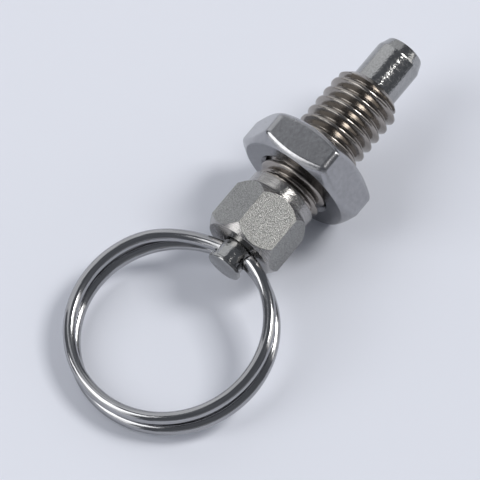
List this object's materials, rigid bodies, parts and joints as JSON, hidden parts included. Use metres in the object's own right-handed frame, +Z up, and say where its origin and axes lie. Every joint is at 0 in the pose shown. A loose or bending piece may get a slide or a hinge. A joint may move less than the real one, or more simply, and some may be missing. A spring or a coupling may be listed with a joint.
{
  "type": "index plunger",
  "caption": "Spring-loaded index plunger: threaded hexagon body with a lock nut, a chamfered locking pin and a split pull ring at its tail.",
  "frame": {"origin": "centre of the footprint at ground level, with the plunger lying on its lock nut and its ring", "axes": "+X along the ground towards the nose of the pin, +Z up; the plunger's own axis rises 6.90 degrees from +X towards the nose, in the XZ plane"},
  "size_m": [0.0382, 0.0174, 0.0103],
  "materials": {
    "body_steel": "turned stainless steel, satin hexagon flats",
    "nut_steel": "tumbled bright stainless steel",
    "pin_steel": "fine turned and ground stainless steel",
    "ring_steel": "drawn and polished stainless spring wire",
    "spring_steel": "drawn stainless spring wire"
  },
  "bodies": {
    "body": {"threaded_body": "body_steel"},
    "nut": {"lock_nut": "nut_steel"},
    "spring": {"compression_spring": "spring_steel"},
    "plunger": {"plunger_pin": "pin_steel"},
    "ring": {"pull_ring": "ring_steel"}
  },
  "joints": [
    {"name": "cam_lift", "type": "slide", "parent": "body", "child": "spring", "axis": [-0.9927, 0, -0.1202], "range_m": [0, 0.00112], "stiffness_N_per_m": 720, "springref_m": -0.004, "deforming": ["compression_spring"]},
    {"name": "plunger_pull", "type": "slide", "parent": "spring", "child": "plunger", "axis": [-0.9927, 0, -0.1202], "range_m": [0, 0.004], "stiffness_N_per_m": 720, "springref_m": -0.004, "deforming": ["compression_spring"]},
    {"name": "ring_swing", "type": "hinge", "parent": "plunger", "child": "ring", "pos_m": [-0.00305, -0.00015, 0.00403], "axis": [0.0046, 0.9993, -0.0381], "range_deg": [0, 80]},
    {"name": "nut_travel", "type": "slide", "parent": "body", "child": "nut", "axis": [0.9927, 0, 0.1202], "range_m": [-0.001, 0.00625]}
  ],
  "couplings": [
    {"joint": "ring_swing", "follows": "cam_lift", "rad_per_m": 1246.7}
  ]
}
